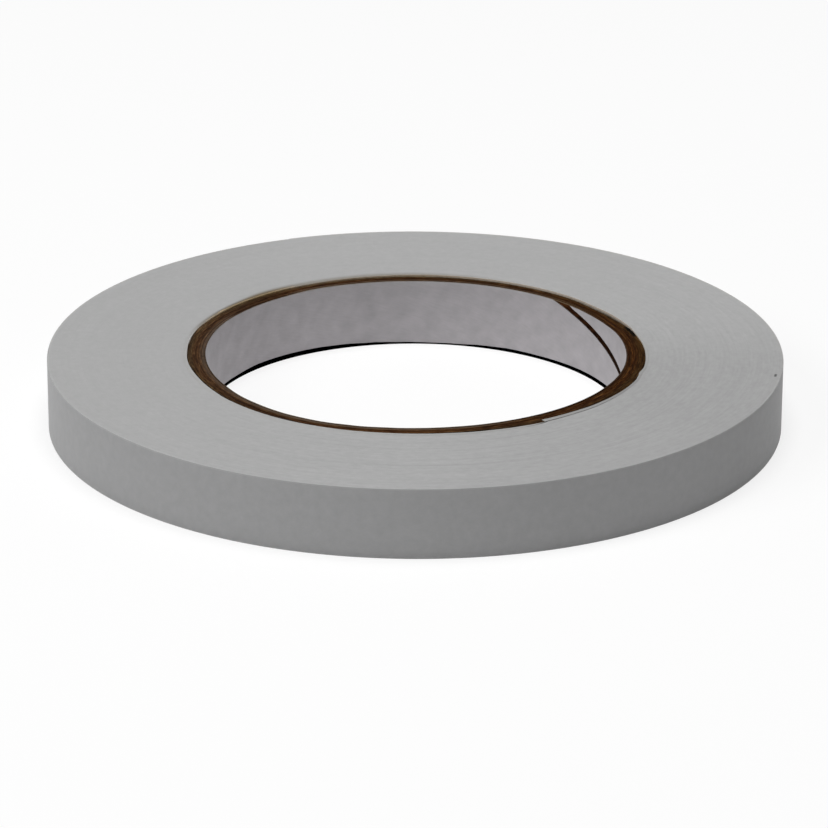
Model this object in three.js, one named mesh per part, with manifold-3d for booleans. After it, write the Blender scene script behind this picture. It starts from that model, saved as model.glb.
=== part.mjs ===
// A roll of labeling tape lying flat: half-inch paper tape wound on a spiral paperboard core.
// Lengths are millimetres and angles are degrees. +Z points up along the roll's axis, and the
// origin is the centre of the bottom face. Angles run counterclockwise from +X, seen from above.

import * as THREE from 'three';
import { mergeVertices } from 'three/addons/utils/BufferGeometryUtils.js';
import Module from 'manifold-3d';

const wasm = await Module();
wasm.setup();

// Tape: its width, which the core is cut to as well, its thickness, and how many turns of it are
// wound on the core. These turns hold about 60 yards.
const tapeWidth = 12.7;
const tapeThickness = 0.156;
const turnCount = 162;

// Core: a liner paper and kraft board plies on a 3 inch bore, with a film of glue between them.
const boreRadius = 38.1;
const linerThickness = 0.2;
const innerPlyCount = 4;
const innerPlyThickness = 0.5;
const outerPlyThickness = 0.95;
const glueLine = 0.02;

// Seams: each ply is one strip laid as a right-handed spiral, at this angle to the core's rim.
// Its edges leave a butt gap, measured square to the seam. The liner's seam meets the top face
// at its own angle, and each ply's seam lies further round by the stagger.
const stripAngle = 17.1;
const linerSeamAngle = 46.2;
const seamStagger = 138.4;
const linerSeamGap = 1.05;
const innerSeamGap = 0.15;
const outerSeamGap = 0.35;

// Low spot: the outer ply ends in a step, all but a thin web, and rises again over this length.
const lowSpotAngle = 303;
const lowSpotLength = 23;
const lowSpotWeb = 0.1;

// First turns: they press into the low spot, and the turns over them sink less and leave a
// crescent. Both start down a short way before the step. The shares are of the low spot's depth.
const firstTurnCount = 4;
const pressLead = 3;
const firstTurnsSinkShare = 0.6;
const packSinkShare = 0.4;

// Free end: where the last turn begins, how far short of that its tip stops, and the length of
// the end that lifts.
const lastTurnAngle = 112;
const tipGap = 0.5;
const freeEndLength = 18;

// Facets round the roll, steps down a seam, and how far a cut runs past what it cuts. Angles
// nearer than the first tolerance share one corner, and radii nearer than the second are the same.
const facetCount = 120;
const seamSteps = 14;
const cutOverrun = 0.5;
const nearAngle = 0.3;
const nearRadius = 0.001;

const fullTurn = 360;
const radian = Math.PI / 180;

// Finishes: liner paper, kraft board from dark to light, and the grey tape's edges and face.
const linerPaper = { color: '#b9b4b8', roughness: 0.75 };
const darkKraft = { color: '#4c3520', roughness: 0.9 };
const brownKraft = { color: '#5d4228', roughness: 0.9 };
const lightKraft = { color: '#6b4c2e', roughness: 0.9 };
const pressedTape = { color: '#a9a8a4', roughness: 0.7 };
const tapeEdges = { color: '#a4a5a6', roughness: 0.7 };
const tapeFace = { color: '#a8a9aa', roughness: 0.55 };

// The angle that an arc of a given length spans at a radius.
function arcAngle(length, radius) {
  return length / radius / radian;
}

function pointAt(radius, angle) {
  return new THREE.Vector2(radius * Math.cos(angle * radian), radius * Math.sin(angle * radian));
}

// Radii of the core, from the bore outwards.
const plyPitch = innerPlyThickness + glueLine;
const firstPlyRadius = boreRadius + linerThickness + glueLine;
const outerPlyRadius = firstPlyRadius + innerPlyCount * plyPitch;
const coreRadius = outerPlyRadius + outerPlyThickness;

// Radii of the tape. The last turn climbs by one thickness, from the pack to its own tip.
const woundRadius = coreRadius + glueLine;
const firstTurnsRadius = woundRadius + firstTurnCount * tapeThickness;
const rollRadius = woundRadius + turnCount * tapeThickness;
const packRadius = rollRadius - tapeThickness - tapeThickness;

// Angles that the pieces share.
const lowSpotDepth = outerPlyThickness - lowSpotWeb;
const lowSpotSpan = arcAngle(lowSpotLength, coreRadius);
const pressSpan = arcAngle(pressLead, coreRadius);
const lastTurnEnd = lastTurnAngle + fullTurn;
const tipAngle = lastTurnEnd - arcAngle(tipGap, rollRadius);
const peelAngle = tipAngle - arcAngle(freeEndLength, rollRadius);

// Every outline has its corners at the same angles, so that nested faces lie flat on each other.
function wrapped(angle) {
  return ((angle % fullTurn) + fullTurn) % fullTurn;
}

function sharedAngles() {
  const special = [
    lowSpotAngle,
    lowSpotAngle + lowSpotSpan,
    lowSpotAngle - pressSpan,
    lastTurnAngle,
    tipAngle,
    peelAngle,
  ].map(wrapped);
  const angles = [...special];
  for (let i = 0; i < facetCount; i += 1) {
    const angle = (i * fullTurn) / facetCount;
    const apart = special.map((other) => Math.abs(wrapped(angle - other + fullTurn / 2) - fullTurn / 2));
    if (Math.min(...apart) > nearAngle) {
      angles.push(angle);
    }
  }
  return angles.sort((a, b) => a - b);
}

const ringAngles = sharedAngles();

// The angles from start to end, with each shared angle between them.
function run(start, end) {
  const between = ringAngles
    .map((angle) => start + wrapped(angle - start))
    .filter((angle) => angle > start + nearAngle / 2 && angle < end - nearAngle / 2)
    .sort((a, b) => a - b);
  return [start, ...between, end];
}

function outline(angles, radiusAt) {
  return angles.map((angle) => pointAt(radiusAt(angle), angle));
}

// A closed outline once round the roll, from a start angle. Where the radius comes back to what
// it was, the last point would repeat the first and is left out.
function loop(start, radiusAt) {
  const angles = run(start, start + fullTurn);
  const closes = Math.abs(radiusAt(start) - radiusAt(start + fullTurn)) < nearRadius;
  return outline(closes ? angles.slice(0, -1) : angles, radiusAt);
}

function circle(radius) {
  return loop(lowSpotAngle, () => radius);
}

// How deep the low spot is, as a share, at an angle counted on from its step.
function lowSpotShareAt(angle) {
  return Math.max(0, 1 - (angle - lowSpotAngle) / lowSpotSpan);
}

// The same, for the tape over it, which starts down before the step.
function sinkShareAt(angle) {
  const rise = 1 - (lowSpotAngle + fullTurn - angle) / pressSpan;
  return Math.max(lowSpotShareAt(angle), rise, 0);
}

function spiralRadiusAt(angle) {
  return packRadius + (tapeThickness * (angle - lastTurnAngle)) / fullTurn;
}

function extruded(outer, inner) {
  const shape = new THREE.Shape(outer);
  if (inner) {
    shape.holes.push(new THREE.Path(inner));
  }
  return new THREE.ExtrudeGeometry(shape, { depth: tapeWidth, bevelEnabled: false });
}

function toSolid(geometry) {
  const bare = geometry.clone();
  bare.deleteAttribute('normal');
  bare.deleteAttribute('uv');
  const merged = mergeVertices(bare);
  return new wasm.Manifold(new wasm.Mesh({
    numProp: 3,
    vertProperties: new Float32Array(merged.attributes.position.array),
    triVerts: new Uint32Array(merged.index.array),
  }));
}

function toGeometry(solid) {
  const mesh = solid.getMesh();
  const geometry = new THREE.BufferGeometry();
  geometry.setAttribute('position', new THREE.BufferAttribute(mesh.vertProperties, mesh.numProp));
  geometry.setIndex(new THREE.BufferAttribute(mesh.triVerts, 1));
  geometry.computeVertexNormals();
  return geometry;
}

// The slanted gap between a strip's two edges: a bar that winds down through the ply's wall.
function seamBar(topAngle, innerRadius, outerRadius, gap) {
  const middleRadius = (innerRadius + outerRadius) / 2;
  const fall = tapeWidth + cutOverrun + cutOverrun;
  const fallAngle = arcAngle(fall / Math.tan(stripAngle * radian), middleRadius);
  const overrunAngle = arcAngle(cutOverrun / Math.tan(stripAngle * radian), middleRadius);
  const halfGap = arcAngle(gap / 2 / Math.sin(stripAngle * radian), middleRadius);
  const rings = [];
  for (let i = 0; i <= seamSteps; i += 1) {
    const share = i / seamSteps;
    const angle = topAngle + overrunAngle - share * fallAngle;
    const height = tapeWidth + cutOverrun - share * fall;
    const corners = [
      pointAt(innerRadius - cutOverrun, angle - halfGap),
      pointAt(outerRadius + cutOverrun, angle - halfGap),
      pointAt(outerRadius + cutOverrun, angle + halfGap),
      pointAt(innerRadius - cutOverrun, angle + halfGap),
    ];
    rings.push(corners.map((corner) => [corner.x, corner.y, height]));
  }
  return barGeometry(rings);
}

// A closed bar through rings of corners, each ring running counterclockwise seen from above,
// with the top ring first.
function barGeometry(rings) {
  const corners = rings[0].length;
  const last = (rings.length - 1) * corners;
  const faces = [];
  for (let above = 0; above < last; above += corners) {
    const below = above + corners;
    for (let i = 0; i < corners; i += 1) {
      const next = (i + 1) % corners;
      faces.push(above + i, below + i, below + next);
      faces.push(above + i, below + next, above + next);
    }
  }
  for (let i = 1; i < corners - 1; i += 1) {
    faces.push(0, i, i + 1);
    faces.push(last, last + i + 1, last + i);
  }
  const geometry = new THREE.BufferGeometry();
  geometry.setAttribute('position', new THREE.Float32BufferAttribute(rings.flat(2), 3));
  geometry.setIndex(faces);
  geometry.computeVertexNormals();
  return geometry;
}

// One ply of the core, split along its seam.
function ply(outer, innerRadius, outerRadius, seamAngle, gap) {
  const wall = toSolid(extruded(outer, circle(innerRadius)));
  const seam = toSolid(seamBar(seamAngle, innerRadius, outerRadius, gap));
  return toGeometry(wall.subtract(seam));
}

// A length of the last turn of tape, lying on the pack from one angle to another.
function turnGeometry(start, end) {
  const angles = run(start, end);
  const under = outline(angles, spiralRadiusAt);
  const over = outline(angles, (angle) => spiralRadiusAt(angle) + tapeThickness);
  return extruded([...over, ...under.reverse()]);
}

// The least distance between the last turn's two ends, where it comes round to itself.
function leastGapOfLastTurn() {
  const half = lastTurnAngle + fullTurn / 2;
  const angles = run(lastTurnAngle, tipAngle);
  const corners = (list) => [
    ...outline(list, spiralRadiusAt),
    ...outline(list, (angle) => spiralRadiusAt(angle) + tapeThickness),
  ];
  const firstHalf = corners(angles.filter((angle) => angle < half - fullTurn / facetCount));
  const secondHalf = corners(angles.filter((angle) => angle > half + fullTurn / facetCount));
  let least = rollRadius;
  for (const a of firstHalf) {
    for (const b of secondHalf) {
      least = Math.min(least, a.distanceTo(b));
    }
  }
  return least;
}

const group = new THREE.Group();

function add(name, geometry, finish) {
  const mesh = new THREE.Mesh(geometry, new THREE.MeshStandardMaterial({ ...finish, metalness: 0 }));
  mesh.name = name;
  group.add(mesh);
}

function addCore() {
  const linerRadius = boreRadius + linerThickness;
  const liner = ply(circle(linerRadius), boreRadius, linerRadius, linerSeamAngle, linerSeamGap);
  add('core_liner', liner, linerPaper);
  for (let i = 0; i < innerPlyCount; i += 1) {
    const inside = firstPlyRadius + i * plyPitch;
    const outside = inside + innerPlyThickness;
    const seamAngle = linerSeamAngle + (i + 1) * seamStagger;
    const board = ply(circle(outside), inside, outside, seamAngle, innerSeamGap);
    add(`core_ply_${i + 1}`, board, i % 2 ? brownKraft : darkKraft);
  }
  const steppedWall = loop(lowSpotAngle, (angle) => coreRadius - lowSpotDepth * lowSpotShareAt(angle));
  const outerSeamAngle = linerSeamAngle + (innerPlyCount + 1) * seamStagger;
  const outerPly = ply(steppedWall, outerPlyRadius, coreRadius, outerSeamAngle, outerSeamGap);
  add('core_outer_ply', outerPly, lightKraft);
}

function addTape() {
  const onCore = loop(lowSpotAngle, (angle) => woundRadius - lowSpotDepth * lowSpotShareAt(angle));
  const sunkTurns = loop(
    lowSpotAngle,
    (angle) => firstTurnsRadius - firstTurnsSinkShare * lowSpotDepth * sinkShareAt(angle),
  );
  const sunkPack = loop(
    lowSpotAngle,
    (angle) => firstTurnsRadius - packSinkShare * lowSpotDepth * sinkShareAt(angle),
  );
  add('first_turns', extruded(sunkTurns, onCore), pressedTape);
  add('tape_pack', extruded(loop(lastTurnAngle, spiralRadiusAt), sunkPack), tapeEdges);
  add('outer_turn', turnGeometry(lastTurnAngle, peelAngle), tapeFace);
  add('tape_end', turnGeometry(peelAngle, tipAngle), tapeFace);
}

addCore();
addTape();

const peelLine = pointAt(spiralRadiusAt(peelAngle) + tapeThickness, peelAngle);
console.log('least gap of the last turn to itself', leastGapOfLastTurn().toFixed(3), 'mm');
console.log('peel line at', peelLine.x.toFixed(4), peelLine.y.toFixed(4), 'mm');

export default group;
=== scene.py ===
# %% [markdown]
# # A roll of labeling tape
# The roll is grey writing paper tape, wound 162 times round a core of kraft board. It lies on a
# white table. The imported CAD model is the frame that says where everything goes, and each cell
# below dresses one part of it, in metres.

import math

import bmesh
import bpy
from mathutils import Matrix, Vector, noise


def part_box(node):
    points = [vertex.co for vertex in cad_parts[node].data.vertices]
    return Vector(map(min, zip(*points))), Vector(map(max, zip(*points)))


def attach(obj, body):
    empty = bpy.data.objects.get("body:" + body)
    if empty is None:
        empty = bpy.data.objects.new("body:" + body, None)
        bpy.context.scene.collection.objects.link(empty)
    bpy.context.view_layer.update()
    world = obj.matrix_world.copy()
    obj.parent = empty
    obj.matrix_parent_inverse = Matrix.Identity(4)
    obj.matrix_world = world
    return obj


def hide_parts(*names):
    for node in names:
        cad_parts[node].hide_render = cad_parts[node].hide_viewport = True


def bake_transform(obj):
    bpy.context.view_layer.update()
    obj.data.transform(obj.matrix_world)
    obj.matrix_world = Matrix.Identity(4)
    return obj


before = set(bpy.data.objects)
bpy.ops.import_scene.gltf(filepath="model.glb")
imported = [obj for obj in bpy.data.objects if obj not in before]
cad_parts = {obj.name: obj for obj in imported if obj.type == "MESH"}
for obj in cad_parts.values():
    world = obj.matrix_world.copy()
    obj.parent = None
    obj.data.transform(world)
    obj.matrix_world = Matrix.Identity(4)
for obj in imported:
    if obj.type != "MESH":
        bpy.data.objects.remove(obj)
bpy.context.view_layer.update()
print("CAD nodes:", sorted(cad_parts))

# %% [markdown]
# ## The sizes that everything shares
# A roll of tape is only radii, one width and a few angles, so they are written down once.

# %% Sizes of the roll
MM = 0.001
TAPE_WIDTH = 12.7 * MM
TAPE_THICKNESS = 0.156 * MM
TURN_COUNT = 162
FIRST_TURN_COUNT = 4
BORE_RADIUS = 38.1 * MM
LINER_THICKNESS = 0.2 * MM
THIN_PLY_COUNT = 4
PLY_THICKNESS = 0.5 * MM
OUTER_PLY_THICKNESS = 0.95 * MM
GLUE_LINE = 0.02 * MM
FIRST_PLY_RADIUS = BORE_RADIUS + LINER_THICKNESS + GLUE_LINE
PLY_PITCH = PLY_THICKNESS + GLUE_LINE
OUTER_PLY_RADIUS = FIRST_PLY_RADIUS + THIN_PLY_COUNT * PLY_PITCH
CORE_RADIUS = OUTER_PLY_RADIUS + OUTER_PLY_THICKNESS
WOUND_RADIUS = CORE_RADIUS + GLUE_LINE
FIRST_TURNS_RADIUS = WOUND_RADIUS + FIRST_TURN_COUNT * TAPE_THICKNESS
PACK_RADIUS = WOUND_RADIUS + (TURN_COUNT - 2) * TAPE_THICKNESS
ROLL_RADIUS = PACK_RADIUS + 2 * TAPE_THICKNESS

# %% Angles round the roll
STRIP_ANGLE = math.radians(17.1)
LINER_SEAM = math.radians(46.2)
SEAM_STAGGER = math.radians(138.4)
LOW_SPOT = math.radians(303)
LOW_SPOT_LENGTH = 23 * MM
LOW_SPOT_DEPTH = 0.85 * MM
PRESS_LEAD = 3 * MM
LAST_TURN = math.radians(112)
TIP_GAP = 0.5 * MM
FREE_END_LENGTH = 18 * MM
TIP = LAST_TURN + math.tau - TIP_GAP / ROLL_RADIUS
PEEL = TIP - FREE_END_LENGTH / ROLL_RADIUS
print("roll radius in mm:", round(ROLL_RADIUS / MM, 3))
print("peel line at", round(math.degrees(PEEL) - 360, 2), "degrees")

# %% [markdown]
# ## Camera
# The photograph was taken with a long lens, from 21 degrees above the table. Its camera was
# found from three ellipses in the picture: the outer rim, the bore and the base.

# %% Make the camera
CAMERA_DISTANCE = 837.6 * MM
CAMERA_HEIGHT_ANGLE = math.radians(20.839)
CAMERA_EXTRA_TILT = math.radians(0.378)
CAMERA_YAW = math.radians(0.0109)
CAMERA_ROLL = math.radians(0.216)

scene = bpy.context.scene
camera_data = bpy.data.cameras.new("camera")
camera_data.sensor_width = 36
camera_data.lens = 200.41
camera_data.clip_start = 0.01
camera_data.clip_end = 20
camera = bpy.data.objects.new("camera", camera_data)
scene.collection.objects.link(camera)
scene.camera = camera
camera.matrix_world = (
    Matrix.Translation((
        0,
        -CAMERA_DISTANCE * math.cos(CAMERA_HEIGHT_ANGLE),
        CAMERA_DISTANCE * math.sin(CAMERA_HEIGHT_ANGLE) + TAPE_WIDTH / 2,
    ))
    @ Matrix.Rotation(CAMERA_YAW, 4, "Z")
    @ Matrix.Rotation(math.pi / 2 - CAMERA_HEIGHT_ANGLE - CAMERA_EXTRA_TILT, 4, "X")
    @ Matrix.Rotation(CAMERA_ROLL, 4, "Z")
)
print("camera at", [round(x, 3) for x in camera.matrix_world.translation])

# %% [markdown]
# ## Shader helpers
# A material is a network of nodes. One helper fills or links a node's sockets, one adds a node,
# and the others each add one common kind of node and give back its output.

# %% Node helpers
def fill(tree, made, sockets):
    """Gives each socket its value, or links it to the output that is given for it."""
    for key, value in sockets.items():
        if isinstance(value, bpy.types.NodeSocket):
            tree.links.new(value, made.inputs[key])
        else:
            made.inputs[key].default_value = value
    return made


def node(tree, kind, sockets=None, **settings):
    made = tree.nodes.new("ShaderNode" + kind)
    for name, value in settings.items():
        setattr(made, name, value)
    return fill(tree, made, sockets or {})


def vector_math(tree, operation, *vectors, **scale):
    sockets = {**dict(enumerate(vectors)), **scale}
    return node(tree, "VectorMath", sockets, operation=operation).outputs


def smooth(tree, value, start, end, low=0.0, high=1.0):
    sockets = {"Value": value, "From Min": start, "From Max": end, "To Min": low, "To Max": high}
    return node(tree, "MapRange", sockets, interpolation_type="SMOOTHSTEP").outputs[0]


def noise_value(tree, vector, scale=1.0, **sockets):
    return node(tree, "TexNoise", {"Vector": vector, "Scale": scale, **sockets}).outputs[0]


def mixed_color(tree, factor, first, second, blend="MIX"):
    sockets = {0: factor, 6: first, 7: second}
    return node(tree, "Mix", sockets, data_type="RGBA", blend_type=blend).outputs[2]


def place_in_mm(tree):
    place = node(tree, "TexCoord").outputs["Object"]
    return vector_math(tree, "SCALE", place, Scale=1 / MM)[0]

# %% Arithmetic in nodes
def calc(tree, operation, *values):
    return node(tree, "Math", dict(enumerate(values)), operation=operation).outputs[0]


def product(tree, first, *others):
    for other in others:
        first = calc(tree, "MULTIPLY", first, other)
    return first


def distance_to(tree, value, place):
    return calc(tree, "ABSOLUTE", calc(tree, "SUBTRACT", value, place))


def as_tone(tree, value, middle, contrast):
    """A tone to multiply a colour with: 1 where the value is at its middle."""
    return calc(tree, "MULTIPLY_ADD", calc(tree, "SUBTRACT", value, middle), contrast, 1.0)

# %% Node groups
def new_group(name, inputs, outputs):
    """An empty node group with named sockets, what is given to it, and its output node."""
    tree = bpy.data.node_groups.new(name, "ShaderNodeTree")
    for socket, kind, value in inputs:
        kind = "NodeSocket" + kind
        made = tree.interface.new_socket(name=socket, in_out="INPUT", socket_type=kind)
        made.default_value = value
    for socket, kind in outputs:
        kind = "NodeSocket" + kind
        tree.interface.new_socket(name=socket, in_out="OUTPUT", socket_type=kind)
    return tree, tree.nodes.new("NodeGroupInput").outputs, tree.nodes.new("NodeGroupOutput")


def use_group(tree, group, **sockets):
    made = tree.nodes.new("ShaderNodeGroup")
    made.node_tree = group
    spaced = {key.replace("_", " "): value for key, value in sockets.items()}
    return fill(tree, made, spaced).outputs

# %% [markdown]
# ## Shared effect: where a point lies on the roll
# Every pattern follows the winding, so it needs a point's distance and direction from the axis,
# and its height. The group finds them from Object coordinates, in millimetres. It gives
# directions and not angles, because an angle jumps where it closes.

# %% Group: roll coordinates
def make_roll_coordinates():
    tree, _, out = new_group(
        "roll_coordinates", [], [("Radius", "Float"), ("Direction", "Vector"), ("Height", "Float")]
    )
    parts = node(tree, "SeparateXYZ", {0: place_in_mm(tree)}).outputs
    flat = node(tree, "CombineXYZ", {"X": parts["X"], "Y": parts["Y"]}).outputs[0]
    radius = vector_math(tree, "LENGTH", flat)["Value"]
    direction = vector_math(tree, "NORMALIZE", flat)[0]
    fill(tree, out, {"Radius": radius, "Direction": direction, "Height": parts["Z"]})
    return tree


ROLL_COORDINATES = make_roll_coordinates()


def toward(tree, at, degrees, start, end, away=0.0, there=1.0):
    """Goes from one value to another as a point's direction nears an angle.

    Start and end are cosines of how far off it is, so 1 is right on the angle."""
    angle = math.radians(degrees)
    wanted = (math.cos(angle), math.sin(angle), 0)
    nearness = vector_math(tree, "DOT_PRODUCT", at["Direction"], wanted)["Value"]
    return smooth(tree, nearness, start, end, away, there)

# %% [markdown]
# ## Shared effect: winding rings
# The side of a wound roll is hundreds of paper edges. Each turn sits a hair higher or lower
# than the next and differs in tone, so faint rings run round the face. Noise is read at the
# radius divided by a ring's width, and at the direction times a drift: a small drift gives long
# rings, and a large one breaks them into short arcs.

# %% Group: winding rings
def make_winding_rings():
    tree, given, out = new_group(
        "winding_rings",
        [("Ring width", "Float", 0.5), ("Drift", "Float", 2.0), ("Contrast", "Float", 0.05),
         ("Seed", "Float", 0.0)],
        [("Tone", "Float"), ("Relief", "Float")],
    )
    at = use_group(tree, ROLL_COORDINATES)
    across = calc(tree, "DIVIDE", at["Radius"], given["Ring width"])
    drifted = vector_math(tree, "SCALE", at["Direction"], Scale=given["Drift"])[0]
    parts = node(tree, "SeparateXYZ", {0: drifted}).outputs
    seeded = calc(tree, "ADD", parts["Y"], given["Seed"])
    point = node(tree, "CombineXYZ", {"X": across, "Y": parts["X"], "Z": seeded}).outputs[0]
    rings = noise_value(tree, point, Detail=2.0, Roughness=0.6)
    fill(tree, out, {"Tone": as_tone(tree, rings, 0.5, given["Contrast"]), "Relief": rings})
    return tree


WINDING_RINGS = make_winding_rings()

# %% [markdown]
# ## Shared effect: paper mottle
# Paper has soft clouds where the pulp is thicker, and fine fibres. The group reads any
# coordinates, so a wrapped strip can use its own UV map, and its fibres follow the strip.

# %% Group: paper mottle
def make_paper_mottle():
    tree, given, out = new_group(
        "paper_mottle",
        [("Vector", "Vector", (0, 0, 0)), ("Cloud size", "Float", 6.0),
         ("Fibre length", "Float", 1.5), ("Fibre width", "Float", 0.15),
         ("Contrast", "Float", 0.1)],
        [("Tone", "Float"), ("Relief", "Float")],
    )
    cloud_scale = calc(tree, "DIVIDE", 1.0, given["Cloud size"])
    clouds = noise_value(tree, given["Vector"], cloud_scale, Detail=3.0)
    along = calc(tree, "DIVIDE", 1.0, given["Fibre length"])
    across = calc(tree, "DIVIDE", 1.0, given["Fibre width"])
    stretch = node(tree, "CombineXYZ", {"X": along, "Y": across, "Z": across}).outputs[0]
    stretched = vector_math(tree, "MULTIPLY", given["Vector"], stretch)[0]
    fibres = noise_value(tree, stretched, Detail=2.0, Distortion=0.4)
    both = calc(tree, "MULTIPLY_ADD", fibres, 0.5, clouds)
    fill(tree, out, {"Tone": as_tone(tree, both, 0.75, given["Contrast"]), "Relief": fibres})
    return tree


PAPER_MOTTLE = make_paper_mottle()

# %% [markdown]
# ## Shared effect: soiled rims
# Cut edges pick up dirt. The mask is 1 at the top and bottom rims and fades out over the reach,
# and noise breaks its border so that it doesn't look painted on.

# %% Group: rim soil
def make_rim_soil():
    tree, given, out = new_group(
        "rim_soil", [("Reach", "Float", 0.6), ("Raggedness", "Float", 0.4)], [("Mask", "Float")]
    )
    height = use_group(tree, ROLL_COORDINATES)["Height"]
    half = TAPE_WIDTH / MM / 2
    to_rim = calc(tree, "SUBTRACT", half, distance_to(tree, height, half))
    specks = noise_value(tree, place_in_mm(tree), 0.9, Detail=3.0)
    centred = calc(tree, "SUBTRACT", specks, 0.5)
    edge = calc(tree, "MULTIPLY_ADD", centred, given["Raggedness"], to_rim)
    fill(tree, out, {"Mask": smooth(tree, edge, given["Reach"], 0.0)})
    return tree


RIM_SOIL = make_rim_soil()
print("shader groups:", [g.name for g in bpy.data.node_groups])

# %% [markdown]
# ## Material: the slit edges of the wound tape
# From the side, the tape is pale grey and quite even, under weak bands and fine rings. They are
# stronger towards the right, where the knife left short scuffs and one dark nick. One turn was
# wound a little slack, and shows as a faint dark arc. The last turns are lighter, with raised
# fibres and a painted highlight along the rim, and brown dust from the core has crept over the
# first turns at the back left.

# %% Start and finish a material
def new_material(name):
    made = bpy.data.materials.new(name)
    made.use_nodes = True
    return made, made.node_tree, made.node_tree.nodes["Principled BSDF"]


def tinted(tree, color, *tones):
    """A colour with one or more tones multiplied over it."""
    for tone in tones:
        grey = node(tree, "CombineColor", {0: tone, 1: tone, 2: tone}).outputs[0]
        color = mixed_color(tree, 1.0, color, grey, "MULTIPLY")
    return color


def finish(tree, shader, color, roughness, specular, height=None, depth=0.0):
    """Puts a finish on the shader, with a bump of this depth where a height is given."""
    looks = {"Base Color": color, "Roughness": roughness, "Specular IOR Level": specular}
    if height is not None:
        bump = node(tree, "Bump", {"Strength": 1.0, "Distance": depth, "Height": height})
        looks["Normal"] = bump.outputs[0]
    fill(tree, shader, looks)

# %% Dust of the core
DUST_SIDE = 115
MOST_DUST_SIDE = 145
SHORT_DUST_SIDE = 153
BOARD_DUST = (0.12, 0.09, 0.048, 1)


def core_dust(tree, at):
    """How much dust of the core lies on the tape beside it, in each direction."""
    some = toward(tree, at, DUST_SIDE, 0.6, 1.0, 0.0, 0.5)
    most = toward(tree, at, MOST_DUST_SIDE, 0.9, 0.985, 0.0, 0.65)
    return calc(tree, "ADD", some, most)


def dusty(tree, at, color):
    """Mixes the dust over a colour. It reaches out a millimetre or two past the core."""
    reach = toward(tree, at, SHORT_DUST_SIDE, 0.93, 1.0, 1.9, 1.1)
    past_core = calc(tree, "SUBTRACT", at["Radius"], WOUND_RADIUS / MM)
    by_core = smooth(tree, past_core, reach, 0.1)
    return mixed_color(tree, product(tree, by_core, core_dust(tree, at)), color, BOARD_DUST)

# %% Marks on the wound edges
SLACK_TURN_RADIUS = 55.8
SLACK_TURN_WIDTH = 0.8
SLACK_TURN_SIDE = 262
SLACK_TURN_DARKNESS = -0.045
NICK_PLACE = (64.47, -11.83, 12.7)
NICK_RADIUS = 65.55
NICK_DARKNESS = -0.85
FAR_SIDE = 125


def slack_turn(tree, at):
    off_turn = distance_to(tree, at["Radius"], SLACK_TURN_RADIUS)
    near = smooth(tree, off_turn, SLACK_TURN_WIDTH, 0.0)
    arc = product(tree, near, toward(tree, at, SLACK_TURN_SIDE, 0.72, 0.95))
    return calc(tree, "MULTIPLY_ADD", arc, SLACK_TURN_DARKNESS, 1.0)


def nick(tree, at):
    away = vector_math(tree, "DISTANCE", place_in_mm(tree), NICK_PLACE)["Value"]
    across = smooth(tree, distance_to(tree, at["Radius"], NICK_RADIUS), 0.35, 0.1)
    mark = product(tree, smooth(tree, away, 0.9, 0.4), across)
    return calc(tree, "MULTIPLY_ADD", mark, NICK_DARKNESS, 1.0)


def fibres_and_rim_highlight(tree, at):
    """The last turns are paler, most of all at the back: raised fibres, and a painted highlight
    along the rim.
    """
    paler = toward(tree, at, FAR_SIDE, 0.0, 0.8, 1.06, 1.13)
    rim = ROLL_RADIUS / MM
    return smooth(tree, at["Radius"], rim - 0.7, rim - 0.2, 1.0, paler)

# %% Wound tape edges
ROUGH_CUT_SIDE = 312
PRESSED_SIDE = 325.92
SIDE_TONES = [(325, 0.5, 1.0, 1.0, 0.92), (340, 0.9, 0.985, 1.0, 0.965), (65, 0.2, 0.9, 1.0, 1.04)]


def make_tape_edges(name, color, contrast, pressed=1.0):
    made, tree, shader = new_material(name)
    at = use_group(tree, ROLL_COORDINATES)
    stronger = toward(tree, at, ROUGH_CUT_SIDE, -0.6, 0.8, contrast * 1.2, contrast * 4.5)
    scuffed = product(tree, stronger, 0.75)
    bands, rings, turns, scuffs = [
        use_group(tree, WINDING_RINGS, Ring_width=width, Drift=drift, Contrast=strength, Seed=seed)
        for width, drift, strength, seed in (
            (2.6, 1.1, contrast * 0.8, 3.0), (0.55, 2.2, stronger, 11.0),
            (0.156, 3.0, contrast * 1.6, 29.0), (0.7, 26.0, scuffed, 53.0),
        )
    ]
    mottle = use_group(
        tree, PAPER_MOTTLE, Vector=place_in_mm(tree), Cloud_size=1.1, Fibre_length=0.5,
        Fibre_width=0.4, Contrast=0.14,
    )
    tones = [pattern["Tone"] for pattern in (bands, rings, turns, scuffs, mottle)]
    # the last turns are lighter: raised fibres and a painted highlight along the rim
    tones += [slack_turn(tree, at), nick(tree, at), fibres_and_rim_highlight(tree, at)]
    tones += [toward(tree, at, *side) for side in SIDE_TONES]
    tones.append(toward(tree, at, PRESSED_SIDE, 0.88, 0.985, 1.0, pressed))
    color = dusty(tree, at, tinted(tree, color, *tones))
    rough = smooth(tree, rings["Relief"], 0.2, 0.8, 0.58, 0.72)
    height = calc(tree, "MULTIPLY_ADD", turns["Relief"], 0.5, rings["Relief"])
    finish(tree, shader, color, rough, 0.35, height, 0.012 * MM)
    return made


TAPE_EDGES = make_tape_edges("wound_tape_edges", (0.375, 0.375, 0.375, 1), 0.065)
PRESSED_EDGES = make_tape_edges("pressed_turn_edges", (0.378, 0.376, 0.371, 1), 0.08, 0.8)
print("materials:", TAPE_EDGES.name, PRESSED_EDGES.name)

# %% [markdown]
# ## Material: the writing face of the tape
# The outside of the roll is coated paper, matte and smooth. It has a very fine tooth and faint
# clouds, its rims are slightly worn, and it is greyer at the right end.

# %% Tape face
DARKER_END_SIDE = 355
FACE_GREY = (0.375, 0.375, 0.378, 1)
WORN_GREY = (0.47, 0.47, 0.47, 1)


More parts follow.
